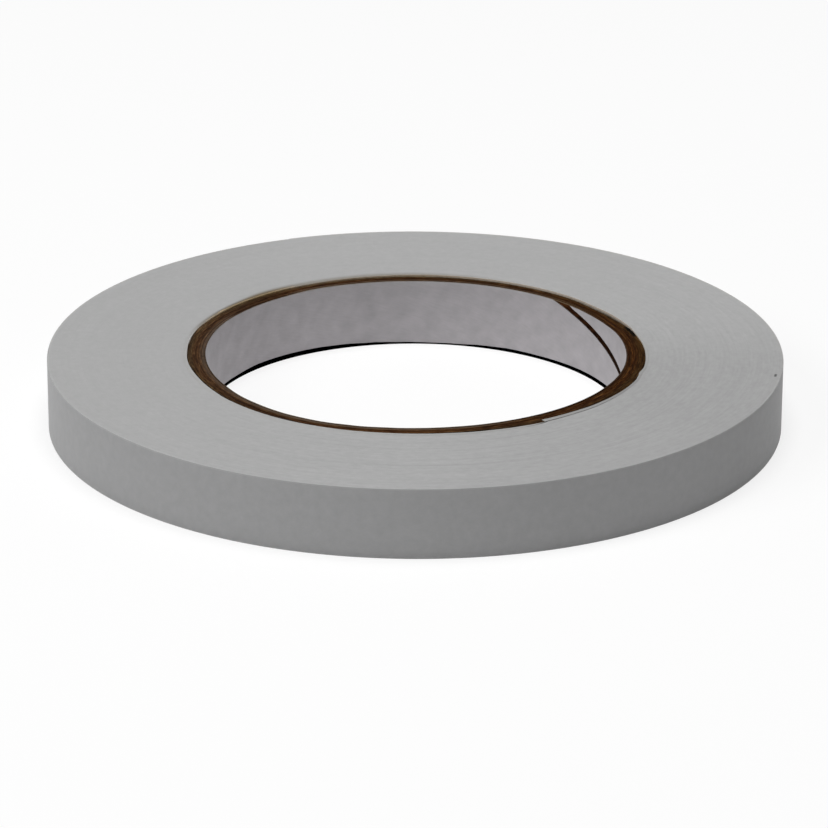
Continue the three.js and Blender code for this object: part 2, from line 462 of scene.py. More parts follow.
def make_tape_face():
    made, tree, shader = new_material("tape_writing_face")
    paper = use_group(
        tree, PAPER_MOTTLE, Vector=place_in_mm(tree), Cloud_size=1.4, Fibre_length=0.5,
        Fibre_width=0.22, Contrast=0.19,
    )
    darker_end = toward(tree, use_group(tree, ROLL_COORDINATES), DARKER_END_SIDE, 0.7, 1.0, 1.0, 0.85)
    worn = product(tree, use_group(tree, RIM_SOIL, Reach=0.45, Raggedness=0.35)["Mask"], 0.35)
    color = tinted(tree, FACE_GREY, paper["Tone"], darker_end)
    color = mixed_color(tree, worn, color, WORN_GREY)
    rough = smooth(tree, paper["Relief"], 0.2, 0.8, 0.5, 0.62)
    finish(tree, shader, color, rough, 0.4, paper["Relief"], 0.006 * MM)
    return made


TAPE_FACE = make_tape_face()

# %% [markdown]
# ## Material: the adhesive
# Under the tape is a coat of adhesive, smoother and a little warmer than the paper. Where the
# first turn lies on the core, board dust has made it brown, and below its very rim it darkens to
# near black.

# %% Adhesive
DUSTED_COAT = (0.58, 0.42, 0.22, 1)
COAT_BELOW_RIM = (0.05, 0.03, 0.014, 1)


def make_adhesive(name, color, dusted=False):
    made, tree, shader = new_material(name)
    coat = use_group(
        tree, PAPER_MOTTLE, Vector=place_in_mm(tree), Cloud_size=2.5, Fibre_length=0.9,
        Fibre_width=0.3, Contrast=0.16,
    )
    if dusted:
        at = use_group(tree, ROLL_COORDINATES)
        dust = core_dust(tree, at)
        lower = calc(tree, "MULTIPLY_ADD", dust, -0.1, at["Height"])
        ragged = calc(tree, "MULTIPLY_ADD", coat["Relief"], 0.3, lower)
        top = TAPE_WIDTH / MM
        # from just below the rim downwards, the coat darkens to near black
        at_rim = smooth(tree, ragged, top - 0.72, top + 0.1)
        color = mixed_color(tree, dust, color, DUSTED_COAT)
        color = mixed_color(tree, at_rim, COAT_BELOW_RIM, color)
    color = tinted(tree, color, coat["Tone"])
    rough = smooth(tree, coat["Relief"], 0.2, 0.8, 0.22, 0.38)
    finish(tree, shader, color, rough, 0.2 if dusted else 0.5, coat["Relief"], 0.01 * MM)
    return made


ADHESIVE = make_adhesive("tape_adhesive", (0.47, 0.45, 0.40, 1))
DUSTY_ADHESIVE = make_adhesive("dusty_adhesive", (0.75, 0.66, 0.56, 1), dusted=True)

# %% [markdown]
# ## Material: kraft board
# The core is brown board, cut with a knife: a mottle of short fibres that run with the layers,
# with dark spots where glue soaked in. The noise is stretched along the ring, and a colour ramp
# with close stops turns it into strong browns. Finer streaks run round it like layers of pulp.
#
# The board is lighter on the left and darker and redder on the right: painted sheen. Elsewhere it
# is worn paler by the bore, but for a dark stretch at the back left, and painted shade darkens its
# outer layers at the front left. One layer is pale on the right.

# %% Tones of the cut board
PALE_BOARD_SIDE = 282
DARK_BOARD_SIDE = 139
PALE_LAYER_RADIUS = 39.45
PALE_LAYER_SIDE = 335
SHADED_SIDE = 228


def board_tones(tree, at, right):
    """How the board's tone changes round the core. Right is 1 at the right end of the core."""
    pale = toward(tree, at, PALE_LAYER_SIDE, 0.76, 0.95, 1.0, 2.3)
    off_layer = distance_to(tree, at["Radius"], PALE_LAYER_RADIUS)
    shaded = toward(tree, at, SHADED_SIDE, 0.94, 0.985, 1.0, 0.6)
    return [
        # painted sheen: lighter at the left end of the core, darker at the right end
        smooth(tree, right, -1.0, 1.0, 1.1, 0.7),
        toward(tree, at, PALE_BOARD_SIDE, 0.9, 0.985, 1.0, 1.45),
        toward(tree, at, DARK_BOARD_SIDE, 0.97, 0.993, 1.0, 0.66),
        smooth(tree, off_layer, 0.24, 0.04, 1.0, pale),
        # painted shade: the tape's edge shades the outer layers at the front left
        smooth(tree, at["Radius"], 39.45, 39.95, 1.0, shaded),
    ]

# %% Wear and painted sheen of the board
WORN_BOARD = (0.152, 0.117, 0.086, 1)
GREYED_BOARD = (0.1, 0.08, 0.065, 1)
PAINTED_SHEEN_TINT = (1.0, 0.87, 0.64, 1)


def worn_by_bore(tree, at, right, back, color):
    """Pale, rubbed board beside the bore, but for the right and the dark stretch."""
    most = smooth(tree, back, -0.5, 0.5, 0.55, 0.8)
    by_bore = smooth(tree, at["Radius"], 39.45, 38.35, 0.0, most)
    toward_right = calc(tree, "MULTIPLY_ADD", back, -0.28, right)
    wear = product(
        tree, by_bore, smooth(tree, toward_right, 0.85, 0.5),
        smooth(tree, right, -1.0, -0.5, 0.5, 1.0),
        toward(tree, at, DARK_BOARD_SIDE, 0.965, 0.99, 1.0, 0.0),
    )
    return mixed_color(tree, wear, color, WORN_BOARD)


def greyed_with_painted_sheen(tree, right, color):
    """A little greyer at the left end, and darker and redder at the right end: painted sheen."""
    color = mixed_color(tree, smooth(tree, right, -0.6, -1.0, 0.0, 0.08), color, GREYED_BOARD)
    return mixed_color(tree, smooth(tree, right, 0.3, 0.95), color, PAINTED_SHEEN_TINT, "MULTIPLY")

# %% [markdown]
# A painted shadow draws a dark line round the outer ply where it meets the tape, strong at the
# near side and weak past the low spot. A blob of painted shadow sits at the ply's seam, and a
# little more at the left end.

# %% Painted shadow along the outer ply
SHADOW_LINE_SIDE = 243
SHADOW_STEP_SIDE = 331.65
SHADOW_BLOB_SIDE = 16
SHADOW_LEFT_SIDE = 179


def shadow_line_mask(tree, at, fibres):
    """1 where a painted shadow darkens the outer ply beside the tape."""
    centred = calc(tree, "SUBTRACT", fibres, 0.5)
    ragged = calc(tree, "MULTIPLY_ADD", centred, 0.8, at["Radius"])
    near = toward(tree, at, SHADOW_LINE_SIDE, 0.35, 0.85, 0.0, 0.9)
    past_step = toward(tree, at, SHADOW_STEP_SIDE, 0.8, 0.97, 0.0, 0.4)
    seam = toward(tree, at, SHADOW_BLOB_SIDE, 0.9965, 0.9985, 0.0, 0.95)
    left = toward(tree, at, SHADOW_LEFT_SIDE, 0.975, 0.995, 0.0, 0.6)
    line = product(
        tree, smooth(tree, at["Radius"], 40.56, 40.86), calc(tree, "MAXIMUM", near, past_step)
    )
    blob = product(tree, smooth(tree, ragged, 40.7, 40.9), seam)
    rest = product(tree, smooth(tree, ragged, 40.6, 40.9), left)
    return calc(tree, "MAXIMUM", line, calc(tree, "MAXIMUM", blob, rest))

# %% [markdown]
# One function makes all four boards from three browns each. The board under the liner's seam is
# soaked with glue and painted with the seam's shade: it is the darkest, isn't worn, and is paler
# at the top of the seam.

# %% Kraft board
FIBRE_STRETCH = 16.0


def board_fibres(tree, at, right, back, seed):
    layer = calc(tree, "MULTIPLY_ADD", at["Radius"], 2.6, seed)
    spread = calc(tree, "MULTIPLY_ADD", back, FIBRE_STRETCH, product(tree, at["Height"], 1.5))
    sockets = {"X": layer, "Y": product(tree, right, FIBRE_STRETCH), "Z": spread}
    point = node(tree, "CombineXYZ", sockets).outputs[0]
    return noise_value(tree, point, Detail=5.0, Roughness=0.7)


def brown_ramp(tree, fibres, dark, middle, light):
    ramp = node(tree, "ValToRGB", {"Fac": fibres})
    stops = ramp.color_ramp.elements
    stops[0].position, stops[0].color = 0.36, dark
    stops[1].position, stops[1].color = 0.66, light
    stops.new(0.5).color = middle
    return ramp.outputs[0]


def make_kraft(name, browns, seed, shadow_lined=False, soaked_and_shaded=False):
    made, tree, shader = new_material(name)
    at = use_group(tree, ROLL_COORDINATES)
    parts = node(tree, "SeparateXYZ", {0: at["Direction"]}).outputs
    right, back = parts["X"], parts["Y"]
    fibres = board_fibres(tree, at, right, back, seed)
    streaks = use_group(
        tree, WINDING_RINGS, Ring_width=0.2, Drift=2.6, Contrast=2.6, Seed=seed + 2.0
    )
    tones = board_tones(tree, at, right) + [streaks["Tone"]]
    if soaked_and_shaded:
        tones.append(smooth(tree, at["Height"], 9.0, 12.0, 1.0, 1.9))
    if shadow_lined:
        # painted shadow: a dark line where the outer ply meets the tape
        tones.append(calc(tree, "SUBTRACT", 1.0, shadow_line_mask(tree, at, fibres)))
    color = tinted(tree, brown_ramp(tree, fibres, *browns), *tones)
    if not soaked_and_shaded:
        color = worn_by_bore(tree, at, right, back, color)
    color = greyed_with_painted_sheen(tree, right, color)
    soil = use_group(tree, RIM_SOIL, Reach=0.9, Raggedness=0.5)
    rough = smooth(tree, soil["Mask"], 0.0, 1.0, 0.8, 0.92)
    finish(tree, shader, color, rough, 0.03, fibres, 0.06 * MM)
    return made


KRAFT = make_kraft(
    "kraft_board",
    [(0.009, 0.0028, 0.0008, 1), (0.036, 0.0135, 0.0042, 1), (0.09, 0.044, 0.018, 1)], 0.0,
)
# the darkest browns: glue soaked in, and painted shade in the liner's seam
KRAFT_SOAKED_AND_SHADED = make_kraft(
    "glue_soaked_shaded_board",
    [(0.006, 0.0016, 0.0004, 1), (0.021, 0.0068, 0.002, 1), (0.05, 0.02, 0.008, 1)], 5.0,
    soaked_and_shaded=True,
)
KRAFT_LIGHT = make_kraft(
    "kraft_board_light",
    [(0.014, 0.005, 0.0014, 1), (0.046, 0.019, 0.0062, 1), (0.11, 0.058, 0.024, 1)], 17.0,
)
KRAFT_OUTER = make_kraft(
    "kraft_board_outer",
    [(0.018, 0.007, 0.0018, 1), (0.055, 0.0285, 0.0105, 1), (0.127, 0.079, 0.038, 1)], 41.0,
    shadow_lined=True,
)

# %% [markdown]
# ## Material: liner paper
# The bore is lined with smooth paper, greyish lilac in this light, and a little paler by the seam.
# Painted light makes it a little paler on the left as well. Its pattern reads the strip's own UV
# map, which is in millimetres and runs along the seam, so the grain follows the spiral. Its cut
# edge at the ends of the core is brown with glue, and cleaner and paler at the far side and the
# near side.

# %% Liner paper
STRIP_UV = "strip_mm"
LINER_LILAC = (0.457, 0.438, 0.454, 1)
LINER_SOIL = (0.2, 0.15, 0.11, 1)


def make_liner_paper():
    made, tree, shader = new_material("liner_paper")
    strip = node(tree, "UVMap", uv_map=STRIP_UV).outputs[0]
    paper = use_group(
        tree, PAPER_MOTTLE, Vector=strip, Cloud_size=3.2, Fibre_length=2.4, Fibre_width=0.3,
        Contrast=0.4,
    )
    soil = product(tree, use_group(tree, RIM_SOIL, Reach=0.35, Raggedness=0.5)["Mask"], 0.3)
    direction = use_group(tree, ROLL_COORDINATES)["Direction"]
    across = node(tree, "SeparateXYZ", {0: direction}).outputs["X"]
    # painted light: the liner is paler on the left of the bore, and a little darker elsewhere
    left = smooth(tree, across, -0.2, -0.5, 0.95, 1.11)
    by_seam = smooth(tree, across, 0.4, 0.6, 1.0, 1.05)
    color = tinted(tree, LINER_LILAC, paper["Tone"], left, by_seam)
    color = mixed_color(tree, soil, color, LINER_SOIL)
    rough = smooth(tree, paper["Relief"], 0.2, 0.8, 0.55, 0.72)
    finish(tree, shader, color, rough, 0.35, paper["Relief"], 0.012 * MM)
    return made


LINER_PAPER = make_liner_paper()

# %% Cut edge of the liner
NEAR_EDGE_SIDE = 254
FAR_EDGE_SIDE = 90
NEAR_EDGE = (0.16, 0.117, 0.08, 1)
FAR_EDGE = (0.24, 0.22, 0.2, 1)
GLUED_EDGE = (0.045, 0.028, 0.017, 1)


def make_liner_edge():
    made, tree, shader = new_material("liner_cut_edge")
    at = use_group(tree, ROLL_COORDINATES)
    back = toward(tree, at, FAR_EDGE_SIDE, -0.5, 0.5)
    near_clean = toward(tree, at, NEAR_EDGE_SIDE, 0.65, 0.85)
    far_clean = toward(tree, at, FAR_EDGE_SIDE, 0.5, 0.85)
    clean = calc(tree, "MAXIMUM", near_clean, far_clean)
    color = mixed_color(tree, clean, GLUED_EDGE, mixed_color(tree, back, NEAR_EDGE, FAR_EDGE))
    finish(tree, shader, color, 0.8, 0.1)
    return made


LINER_EDGE = make_liner_edge()
print("materials:", [m.name for m in bpy.data.materials])

# %% [markdown]
# ## Modelling helpers
# Rings of wound tape are a cross-section spun round the axis. Layers of the core are strips: a
# flat grid, wrapped round the axis and slanted so that its ends meet in a spiral seam. Both
# start from bmesh operators, and then noise and the low spot move their vertices.

# %% Places round the axis
def polar(radius, angle, height):
    return Vector((radius * math.cos(angle), radius * math.sin(angle), height))


def radius_of(point):
    return math.hypot(point.x, point.y)


def angle_of(point):
    return math.atan2(point.y, point.x)


def angle_from(start, point):
    """A point's angle past a start angle, from 0 to one turn."""
    angle = (angle_of(point) - start) % math.tau
    return 0.0 if math.tau - angle < 1e-6 else angle


def set_radius(vertex, radius):
    scale = radius / radius_of(vertex.co)
    vertex.co.x *= scale
    vertex.co.y *= scale


def outward_at(face):
    """How much a face looks away from the axis: 1 outwards, -1 inwards."""
    middle = face.calc_center_median()
    return face.normal.dot(Vector((middle.x, middle.y, 0)).normalized())


def unevenness(point, size, seed):
    """Smooth noise from about -1 to 1, with bumps of about this size."""
    return noise.noise(point / size + Vector((seed, 0.37 * seed, -seed)))

# %% Low spot of the core
LOW_SPOT_SPAN = LOW_SPOT_LENGTH / CORE_RADIUS
PRESS_SPAN = PRESS_LEAD / CORE_RADIUS


def low_spot_share(angle):
    """How deep the low spot is: 1 at its step, down to 0 where the board is full again."""
    past = (angle - LOW_SPOT) % math.tau
    return max(0.0, 1 - past / LOW_SPOT_SPAN)


def sink_share(angle):
    """The same for the tape over it, which starts down a short way before the step."""
    before = (LOW_SPOT - angle) % math.tau
    return max(low_spot_share(angle), 1 - before / PRESS_SPAN, 0.0)

# %% [markdown]
# ## How the core sits in the tape
# The core is half a millimetre narrower than the tape and isn't quite level in it, so its top
# lies a little low at the back and the front left, and a dark gap shows under it. Its hole is a
# hair off centre. Short lists hold the gap and the depth of its top, in millimetres, at a few
# places round the bore, and a smooth curve joins them.

# %% Seat of the core
GAP_UNDER_AT = [
    (0, 0.55), (32, 0.63), (50, 0.53), (59, 0.6), (68, 0.47), (76, 0.27), (84, 0.25), (92, 0.34),
    (100, 0.53), (108, 0.73), (116, 0.89), (125, 0.95), (135, 0.99), (148, 0.79), (180, 0.55),
    (250, 0.35), (310, 0.4), (360, 0.55),
]
TOP_DEPTH_AT = [
    (0, 0.15), (15, 0.2), (25, 0.38), (32, 0.4), (40, 0.3), (50, 0.2), (90, 0.2), (105, 0.16),
    (120, 0.08), (130, 0.18), (138, 0.16), (148, 0.08), (157, 0.0), (175, 0.05), (190, 0.1),
    (205, 0.14), (220, 0.33), (235, 0.4), (245, 0.36), (255, 0.23), (265, 0.1), (280, 0.02),
    (295, 0.0), (330, 0.06), (360, 0.15),
]
OUTER_PLY_DEPTH_AT = [
    (0, 0.0), (18, 0.0), (19, 0.04), (26, 0.16), (33, 0.36), (46, 0.23), (60, 0.2), (90, 0.15),
    (120, 0.28), (135, 0.14), (150, 0.22), (165, 0.27), (190, 0.0), (360, 0.0),
]
BORE_SHIFT = 0.17 * MM


def value_round(places, angle):
    """A value in mm at an angle, from a list of (degrees, value) round the roll."""
    degrees = math.degrees(angle) % 360
    for (first, low), (second, high) in zip(places, places[1:]):
        if degrees <= second:
            share = (degrees - first) / (second - first)
            return (low + (high - low) * share * share * (3 - 2 * share)) * MM
    return places[-1][1] * MM


def seat_in_tape(bm, extra_depth=None):
    """Fits a full-width layer between the core's real ends. Its seam keeps its own slope."""
    for vertex in bm.verts:
        angle, radius, height = angle_of(vertex.co), radius_of(vertex.co), vertex.co.z
        under, depth = value_round(GAP_UNDER_AT, angle), value_round(TOP_DEPTH_AT, angle)
        if extra_depth:
            depth += value_round(extra_depth, angle)
        seated = under + height * (TAPE_WIDTH - under - depth) / TAPE_WIDTH
        slide = (seated - height) / (radius * math.tan(STRIP_ANGLE))
        to_tape = (WOUND_RADIUS - radius) / (WOUND_RADIUS - BORE_RADIUS)
        shifted = radius + BORE_SHIFT * math.cos(angle) * to_tape
        vertex.co = polar(shifted, angle + slide, seated)

# %% Finished pieces
SHARP_ANGLE = math.radians(38)


def add_object(name, bm, materials):
    mesh = bpy.data.meshes.new(name)
    bm.to_mesh(mesh)
    bm.free()
    for material in materials:
        mesh.materials.append(material)
    made = bpy.data.objects.new(name, mesh)
    scene.collection.objects.link(made)
    return made


def finish_piece(name, bm, materials, body, node_name, paint=None):
    """Turns a bmesh into a piece with its finish, on its body, in place of its CAD node."""
    bmesh.ops.remove_doubles(bm, verts=bm.verts, dist=1e-7)
    bmesh.ops.recalc_face_normals(bm, faces=bm.faces)
    if paint:
        for face in bm.faces:
            face.material_index = paint(face)
    open_edges = sum(1 for edge in bm.edges if not edge.is_manifold)
    piece = add_object(name, bm, materials)
    piece.data.shade_smooth()
    piece.data.set_sharp_from_angle(angle=SHARP_ANGLE)
    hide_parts(node_name)
    if body:
        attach(piece, body)
    low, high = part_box(node_name)
    size = [round(x / MM, 2) for x in (high - low)]
    own = [round(x / MM, 2) for x in piece.dimensions]
    faces = len(piece.data.polygons)
    print(f"{name}: {faces} faces, {open_edges} open edges, {own} mm (CAD {size})")
    return piece

# %% [markdown]
# ## The spiral strips of the core
# Every layer of a real core is one strip of paper, laid at a slant, so that its long edges meet
# in a seam that winds down like a screw thread. Here a flat grid is wrapped round the axis, and
# its vertices slide back along the seam's slope. Extruding it outwards gives the wall.

# %% Wrap a strip
def wrap_strip(inner_radius, thickness, top_angle, gap, columns=300, rows=18):
    """A closed wall round the bore with a slanted butt seam. Its UV map runs along the seam."""
    bm = bmesh.new()
    strip = bm.loops.layers.uv.new(STRIP_UV)
    bmesh.ops.create_grid(bm, x_segments=columns, y_segments=rows, size=0.5)
    middle_radius = inner_radius + thickness / 2
    gap_angle = gap / math.sin(STRIP_ANGLE) / middle_radius
    slope = 1 / (middle_radius * math.tan(STRIP_ANGLE))
    along = Vector((math.cos(STRIP_ANGLE), math.sin(STRIP_ANGLE)))
    across = Vector((-math.sin(STRIP_ANGLE), math.cos(STRIP_ANGLE)))
    for vertex in bm.verts:
        share, height = vertex.co.x + 0.5, (vertex.co.y + 0.5) * TAPE_WIDTH
        turned = share * (math.tau - gap_angle) - (TAPE_WIDTH - height) * slope
        flat = Vector((turned * middle_radius, height)) / MM
        for loop in vertex.link_loops:
            loop[strip].uv = (flat.dot(along), flat.dot(across))
        vertex.co = polar(inner_radius, top_angle + gap_angle / 2 + turned, height)
    wall = bmesh.ops.extrude_face_region(bm, geom=bm.faces[:])
    for item in wall["geom"]:
        if isinstance(item, bmesh.types.BMVert):
            set_radius(item, inner_radius + thickness)
    bmesh.ops.recalc_face_normals(bm, faces=bm.faces)
    return bm


def soften_edges(bm, width):
    corner = math.radians(60)
    sharp = [edge for edge in bm.edges if edge.is_manifold and edge.calc_face_angle() > corner]
    bmesh.ops.bevel(
        bm, geom=sharp, offset=width, offset_type="OFFSET", segments=2, profile=0.5,
        affect="EDGES", clamp_overlap=True, material=-1,
    )

# %% [markdown]
# ## Board plies
# The knife leaves each ply's end a little uneven, and a ply may stand a few hundredths of a
# millimetre lower than the next, which draws fine dark lines between the layers. The outer ply
# is thicker. It ends in a step at the front right, and rises again over 23 mm. Two cuts with a
# plane put vertices on both sides of the step, so that it stays sharp.

# %% Build the plies
RIM_NOISE_SIZE = 2.2 * MM
RIM_REACH = 0.12 * MM


def roughen_ends(bm, drop, amount, seed):
    """Lowers a ply's two ends, unevenly, and leaves the rest of its wall alone."""
    for vertex in bm.verts:
        to_rim = min(vertex.co.z, TAPE_WIDTH - vertex.co.z)
        if to_rim < RIM_REACH:
            rough = 0.5 + 0.5 * unevenness(vertex.co, RIM_NOISE_SIZE, seed)
            fine = 0.5 + 0.5 * unevenness(vertex.co, RIM_NOISE_SIZE / 4, seed + 5)
            lower = drop + amount * (0.7 * rough + 0.3 * fine)
            vertex.co.z += lower if vertex.co.z < TAPE_WIDTH / 2 else -lower


def cut_at_angle(bm, angle):
    bmesh.ops.bisect_plane(
        bm, geom=bm.verts[:] + bm.edges[:] + bm.faces[:], dist=1e-7, plane_co=(0, 0, 0),
        plane_no=(-math.sin(angle), math.cos(angle), 0),
    )

# %% Step and bulge of the outer ply
STEP_WIDTH = 0.06 * MM / WOUND_RADIUS
JUST_PAST = 1e-6
BULGE_AT = [
    (0, 0.36), (5, 0.28), (12, 0.14), (15, 0.15), (17.5, 0.25), (19.5, 0.2), (23, 0.1), (27, 0.0),
    (36, -0.2), (46, 0.0), (155, 0.02), (165, 0.2), (174, 0.02), (181, -0.08), (187, -0.03),
    (200, -0.26), (209, -0.22), (216, -0.06), (236, -0.06), (250, -0.22), (265, -0.39),
    (275, -0.32), (287, -0.06), (295, 0.18), (302.92, 0.45), (303, 0.12), (310, 0.11),
    (320, 0.37), (335, 0.48), (340, 0.56), (342.8, 0.4), (345, 0.2), (349, 0.5), (360, 0.36),
]


def cut_step(bm):
    """Puts vertices on both sides of the low spot's step."""
    cut_at_angle(bm, LOW_SPOT - STEP_WIDTH)
    cut_at_angle(bm, LOW_SPOT)


def shape_outer_ply(bm):
    seat_in_tape(bm, OUTER_PLY_DEPTH_AT)
    cut_step(bm)
    for vertex in bm.verts:
        angle, radius = angle_of(vertex.co) + JUST_PAST, radius_of(vertex.co)
        outward = max(0.0, (radius - OUTER_PLY_RADIUS) / OUTER_PLY_THICKNESS)
        change = value_round(BULGE_AT, angle) - low_spot_share(angle) * LOW_SPOT_DEPTH
        set_radius(vertex, radius + outward * change)

# %% Make the five plies
THIN_SEAM_GAP = 0.15 * MM
OUTER_SEAM_GAP = 0.35 * MM
PLY_ROUNDING = 0.07 * MM
PLY_ROUGHNESS = 0.06 * MM
PLY_DROPS = [0.08 * MM, 0.01 * MM, 0.07 * MM, 0.02 * MM]
PLY_FINISHES = [(KRAFT, "kraft_board"), (KRAFT_LIGHT, "kraft_board_light")]


def paint_inside(face):
    return int(outward_at(face) < -0.6)


def build_ply(name, number, inner_radius, thickness, gap, drop, seat, material, slot_name):
    bm = wrap_strip(inner_radius, thickness, LINER_SEAM + number * SEAM_STAGGER, gap)
    soften_edges(bm, PLY_ROUNDING)
    roughen_ends(bm, drop, PLY_ROUGHNESS, 7.0 * number)
    seat(bm)
    materials = [material, KRAFT_SOAKED_AND_SHADED]
    finish_piece(name, bm, materials, "roll", f"core_{name}", paint_inside)


for number, drop in enumerate(PLY_DROPS, 1):
    build_ply(
        f"ply_{number}", number, FIRST_PLY_RADIUS + (number - 1) * PLY_PITCH, PLY_THICKNESS,
        THIN_SEAM_GAP, drop, seat_in_tape, *PLY_FINISHES[(number - 1) % 2],
    )
build_ply(
    "outer_ply", THIN_PLY_COUNT + 1, OUTER_PLY_RADIUS, OUTER_PLY_THICKNESS,
    OUTER_SEAM_GAP, 0.0, shape_outer_ply, KRAFT_OUTER, "kraft_board_outer",
)

# %% [markdown]
# ## Liner
# The liner's seam gapes by a millimetre, and more towards the bottom, so the brown board shows
# through, dark with soaked glue and painted shade. The sharp corner at its top has broken off. The
# sides of the seam and the back of the paper are brown with glue: they get the board's finish.

# %% Shape of the liner's seam
LINER_SEAM_GAP = 1.05 * MM
BROKEN_CORNER = 0.95 * MM
CORNER_HEIGHT = 0.35 * MM
CORNER_REACH = 6 * MM
SEAM_LIFT = 0.03 * MM
LIFT_REACH = 2.0 * MM
SEAM_FLARE = 2.0 * MM
FLARE_REACH = 12 * MM


def pulled_back(to_top, to_seam):
    """How far the strip's end edge is pulled back: its broken corner, and its flare below."""
    pulled = SEAM_FLARE * to_top / TAPE_WIDTH * max(0.0, 1 - to_seam / FLARE_REACH)
    if to_top < CORNER_HEIGHT and to_seam < CORNER_REACH:
        pulled += BROKEN_CORNER * (1 - to_top / CORNER_HEIGHT) * (1 - to_seam / CORNER_REACH)
    return pulled

# %% Build the liner
LINER_WAVE = 0.018 * MM
LINER_WAVE_SIZE = 5 * MM
LINER_RIM_WEAR = 0.03 * MM
LINER_RIM_SIZE = 1.5 * MM


def paint_liner(face):
    if abs(face.normal.z) > 0.6:
        return 2
    return 0 if outward_at(face) < -0.6 else 1


def build_liner():
    bm = wrap_strip(BORE_RADIUS, LINER_THICKNESS, LINER_SEAM, LINER_SEAM_GAP, 420, 30)
    slope = 1 / (BORE_RADIUS * math.tan(STRIP_ANGLE))
    for vertex in bm.verts:
        height = vertex.co.z
        to_top = TAPE_WIDTH - height
        past_seam = angle_from(LINER_SEAM - to_top * slope, vertex.co)
        to_end = (math.tau - past_seam) * BORE_RADIUS
        lift = max(0.0, 1 - min(past_seam * BORE_RADIUS, to_end) / LIFT_REACH)
        wave = LINER_WAVE * unevenness(vertex.co, LINER_WAVE_SIZE, 2.0)
        ragged = 0.5 + 0.5 * unevenness(vertex.co, LINER_RIM_SIZE, 9.0)
        worn = LINER_RIM_WEAR * ragged * (height / TAPE_WIDTH) ** 8
        vertex.co = polar(
            radius_of(vertex.co) - SEAM_LIFT * lift * lift + wave,
            angle_of(vertex.co) - pulled_back(to_top, to_end) / BORE_RADIUS,
            height - worn,
        )
    seat_in_tape(bm)
    materials = [LINER_PAPER, KRAFT_LIGHT, LINER_EDGE]
    finish_piece("liner", bm, materials, "roll", "core_liner", paint_liner)


build_liner()

# %% [markdown]
# ## Wound tape
# A cross-section spun round the axis makes a ring. Its long flat sides get extra points first,
# so that the faces can carry a low relief: groups of turns that stand a little proud.

# %% Spin a cross-section
def cross_section(inner, outer, corner, cuts, start_angle=0.0):
    """The outline of a rounded rectangle between two radii, as edges ready to spin."""
    bm = bmesh.new()
    places = ((inner, 0), (outer, 0), (outer, TAPE_WIDTH), (inner, TAPE_WIDTH))
    corners = [bm.verts.new((radius, 0, height)) for radius, height in places]
    bm.faces.new(corners)
    bmesh.ops.bevel(
        bm, geom=corners, offset=corner, offset_type="OFFSET", segments=3, profile=0.5,
        affect="VERTICES", clamp_overlap=True, material=-1,
    )
    bmesh.ops.delete(bm, geom=bm.faces[:], context="FACES_ONLY")
    half = (outer - inner) / 2
    flat = [e for e in bm.edges if abs(e.verts[0].co.x - e.verts[1].co.x) > half]
    if cuts:
        bmesh.ops.subdivide_edges(bm, edges=flat, cuts=cuts)
    turned = Matrix.Rotation(start_angle, 3, "Z")
    bmesh.ops.rotate(bm, verts=bm.verts, cent=(0, 0, 0), matrix=turned)
    return bm


def fill_holes(bm):
    bmesh.ops.holes_fill(bm, edges=[edge for edge in bm.edges if edge.is_boundary], sides=0)


def spin_round(bm, turn, steps, closed):
    """Spins the outline. An open spin gets a cap on each end, and its last ring is returned."""
    spun = bmesh.ops.spin(
        bm, geom=bm.verts[:] + bm.edges[:], cent=(0, 0, 0), axis=(0, 0, 1), dvec=(0, 0, 0),
        angle=turn, steps=steps, use_merge=closed, use_duplicate=False,
    )
    last = {item for item in spun["geom_last"] if isinstance(item, bmesh.types.BMVert)}
    if not closed:
        fill_holes(bm)
    return last

# %% [markdown]
# ## First turns
# The four innermost turns are pressed down into the low spot of the core, and the turns over
# them bridge it, which leaves a thin dark crescent. The low spot pulls the ring's inner side in
# by its whole depth and its outer side by a little more than half. The bulge pushes both out.

# %% Build the first turns
FIRST_TURNS_SINK = 0.6
PACK_SINK = 0.4
BULGE_LEFT = 0.8
GROOVE_DEPTH = 0.03 * MM
DISH_AT = [
    (0, 0.0), (85, 0.0), (105, 0.1), (120, 0.15), (150, 0.2), (165, 0.1), (173, 0.0), (360, 0.0),
]


def sunk(angle, share_of_depth):
    """How far a turn over the low spot moves: out with the bulge, and in where it sinks."""
    out = BULGE_LEFT * value_round(BULGE_AT, angle)
    return out - share_of_depth * LOW_SPOT_DEPTH * sink_share(angle)


def build_first_turns():
    bm = cross_section(WOUND_RADIUS, FIRST_TURNS_RADIUS, 0.02 * MM, 11)
    spin_round(bm, math.tau, 360, True)
    cut_step(bm)
    thickness = FIRST_TURNS_RADIUS - WOUND_RADIUS
    for vertex in bm.verts:
        angle, on_top = angle_of(vertex.co) + JUST_PAST, vertex.co.z > TAPE_WIDTH / 2
        share = (radius_of(vertex.co) - WOUND_RADIUS) / thickness
        bulge = value_round(BULGE_AT, angle)
        inner = WOUND_RADIUS + bulge - LOW_SPOT_DEPTH * low_spot_share(angle)
        outer = FIRST_TURNS_RADIUS + sunk(angle, FIRST_TURNS_SINK)
        set_radius(vertex, inner + share * (outer - inner))
        if 0.1 < share < 0.9:
            between = 0.5 + 0.5 * math.cos(share * FIRST_TURN_COUNT * math.tau)
            vertex.co.z += GROOVE_DEPTH * between * (-1 if on_top else 1)
        if on_top:
            vertex.co.z -= value_round(DISH_AT, angle) * max(0.0, 1 - share)
    materials = [PRESSED_EDGES, DUSTY_ADHESIVE]
    finish_piece(
        "pressed_turns", bm, materials, "roll", "first_turns", paint_inside
    )


build_first_turns()

# %% [markdown]
# ## The wound pack
# The body of the roll is a real spiral: its outside grows by one thickness of tape in a turn,
# and steps back where the last turn leaves it. So the spin is left open, its outer side is
# pushed out as it goes round, and the two ends are merged where they still meet.

